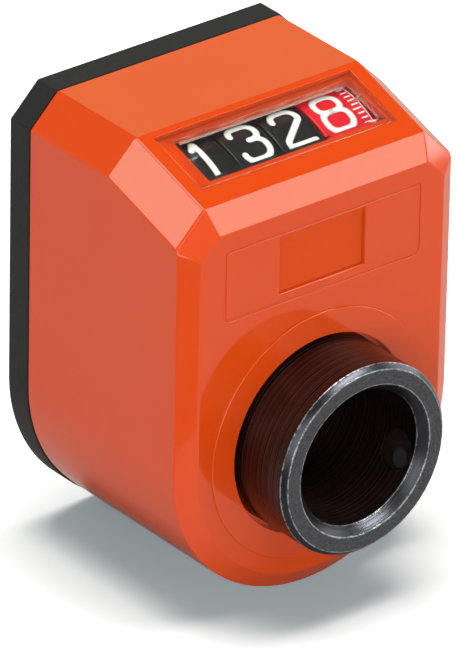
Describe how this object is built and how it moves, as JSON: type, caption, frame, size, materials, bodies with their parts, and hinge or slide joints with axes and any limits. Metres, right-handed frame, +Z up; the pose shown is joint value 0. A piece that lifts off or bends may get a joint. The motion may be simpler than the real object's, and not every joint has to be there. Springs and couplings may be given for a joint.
{
  "type": "mechanical position indicator",
  "caption": "Position indicator with a hollow steel bushing clamped on a spindle, geared to number drums behind a sloped window in a bevelled case.",
  "frame": {"origin": "on the bore axis, in the plane of the rear face", "axes": "+Y along the bore to the rear, the front faces -Y, +X to the right seen from the front, +Z up"},
  "size_m": [0.0332, 0.0395, 0.0473],
  "materials": {
    "case_orange": "glossy moulded polyamide",
    "clear_pane": "clear moulded plastic",
    "base_black": "fine moulded texture",
    "foam": "fine-celled foam",
    "seal_rubber": "smooth rubber",
    "bright_steel": "bright drawn steel",
    "black_oxide_steel": "turned and black oxidised",
    "gear_ivory": "natural moulded plastic",
    "drum_red": "satin moulded plastic",
    "drum_black": "satin moulded plastic"
  },
  "bodies": {
    "case_body": {"case": "case_orange", "window": "clear_pane", "rear_base": "base_black", "rear_gasket": "foam", "front_seal": "seal_rubber", "rear_seal": "seal_rubber", "drum_shaft": "bright_steel", "lay_pin": "bright_steel", "idler_pin": "bright_steel", "carrier_tens": "base_black", "carrier_hundreds": "base_black", "carrier_thousands": "base_black"},
    "bushing_body": {"bushing": "black_oxide_steel", "grub_screw": "black_oxide_steel", "crown_gear": "gear_ivory", "retaining_ring": "bright_steel"},
    "lay_body": {"lay_gear": "gear_ivory"},
    "idler_body": {"idler_gear": "gear_ivory"},
    "units_body": {"units_drum": "drum_red"},
    "tens_body": {"tens_drum": "drum_black"},
    "hundreds_body": {"hundreds_drum": "drum_black"},
    "thousands_body": {"thousands_drum": "drum_black"},
    "pinion_tens_body": {"pinion_tens": "gear_ivory"},
    "pinion_hundreds_body": {"pinion_hundreds": "gear_ivory"},
    "pinion_thousands_body": {"pinion_thousands": "gear_ivory"}
  },
  "joints": [
    {"name": "bushing_spin", "type": "hinge", "parent": "case_body", "child": "bushing_body", "pos_m": [0, -0.0167, 0], "axis": [0, 1, 0], "continuous": true},
    {"name": "lay_spin", "type": "hinge", "parent": "case_body", "child": "lay_body", "pos_m": [0.011, -0.0112, 0], "axis": [1, 0, 0], "continuous": true},
    {"name": "idler_spin", "type": "hinge", "parent": "case_body", "child": "idler_body", "pos_m": [0.012, -0.00996, 0.00732], "axis": [1, 0, 0], "continuous": true},
    {"name": "units_spin", "type": "hinge", "parent": "case_body", "child": "units_body", "pos_m": [0.008, -0.0147, 0.01875], "axis": [1, 0, 0], "continuous": true},
    {"name": "tens_spin", "type": "hinge", "parent": "case_body", "child": "tens_body", "pos_m": [0.0025, -0.0147, 0.01875], "axis": [1, 0, 0], "continuous": true},
    {"name": "hundreds_spin", "type": "hinge", "parent": "case_body", "child": "hundreds_body", "pos_m": [-0.0025, -0.0147, 0.01875], "axis": [1, 0, 0], "continuous": true},
    {"name": "thousands_spin", "type": "hinge", "parent": "case_body", "child": "thousands_body", "pos_m": [-0.0076, -0.0147, 0.01875], "axis": [1, 0, 0], "continuous": true},
    {"name": "pinion_tens_spin", "type": "hinge", "parent": "case_body", "child": "pinion_tens_body", "pos_m": [0.0065, -0.0147, 0.01315], "axis": [1, 0, 0], "continuous": true},
    {"name": "pinion_hundreds_spin", "type": "hinge", "parent": "case_body", "child": "pinion_hundreds_body", "pos_m": [0.0014, -0.0147, 0.01315], "axis": [1, 0, 0], "continuous": true},
    {"name": "pinion_thousands_spin", "type": "hinge", "parent": "case_body", "child": "pinion_thousands_body", "pos_m": [-0.0037, -0.0147, 0.01315], "axis": [1, 0, 0], "continuous": true}
  ],
  "couplings": [
    {"joint": "lay_spin", "follows": "bushing_spin", "ratio": -2.5},
    {"joint": "idler_spin", "follows": "bushing_spin", "ratio": 2},
    {"joint": "units_spin", "follows": "bushing_spin", "ratio": -1},
    {"joint": "tens_spin", "follows": "bushing_spin", "ratio": -0.1},
    {"joint": "hundreds_spin", "follows": "bushing_spin", "ratio": -0.01},
    {"joint": "thousands_spin", "follows": "bushing_spin", "ratio": -0.001},
    {"joint": "pinion_tens_spin", "follows": "bushing_spin", "ratio": 0.25},
    {"joint": "pinion_hundreds_spin", "follows": "bushing_spin", "ratio": 0.025},
    {"joint": "pinion_thousands_spin", "follows": "bushing_spin", "ratio": 0.0025}
  ]
}
